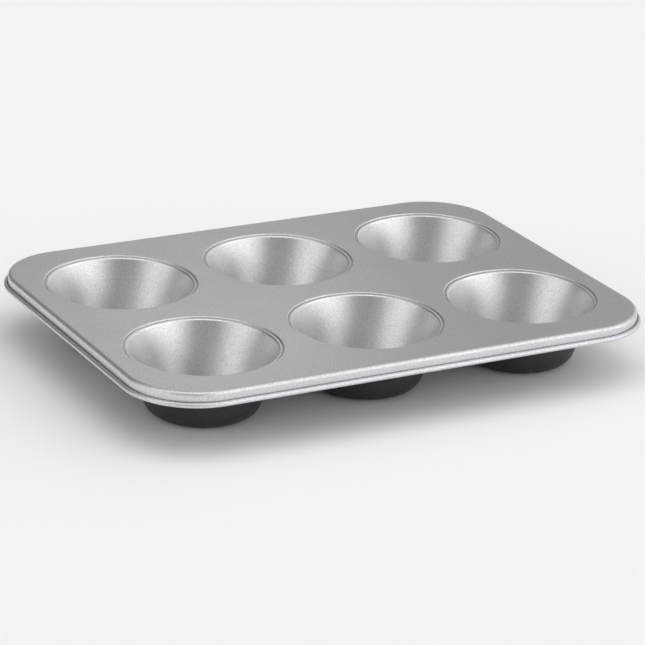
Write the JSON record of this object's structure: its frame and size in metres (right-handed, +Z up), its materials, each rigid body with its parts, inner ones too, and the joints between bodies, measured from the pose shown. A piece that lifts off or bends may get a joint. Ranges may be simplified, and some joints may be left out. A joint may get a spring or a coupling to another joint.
{
  "type": "muffin tin",
  "caption": "Rectangular metal baking tin with round corners, a rolled wired rim and deep round tapered cups set in rows in its deck.",
  "frame": {"origin": "on the surface the tin stands on, under the middle of the tin", "axes": "+X along the long side to the right, +Y to the back, +Z up"},
  "size_m": [0.347, 0.2584, 0.041],
  "materials": {
    "deck_coat": "satin silver-grey baked-on release coat with a fine speckle",
    "wire_steel": "plain drawn steel wire",
    "cup_coat": "satin silver release coat inside, charcoal baked-on coat outside"
  },
  "bodies": {
    "root": {"deck": "deck_coat", "rim_wire": "wire_steel", "cup_front_left": "cup_coat", "cup_front_middle": "cup_coat", "cup_front_right": "cup_coat", "cup_back_left": "cup_coat", "cup_back_middle": "cup_coat", "cup_back_right": "cup_coat"}
  },
  "joints": []
}
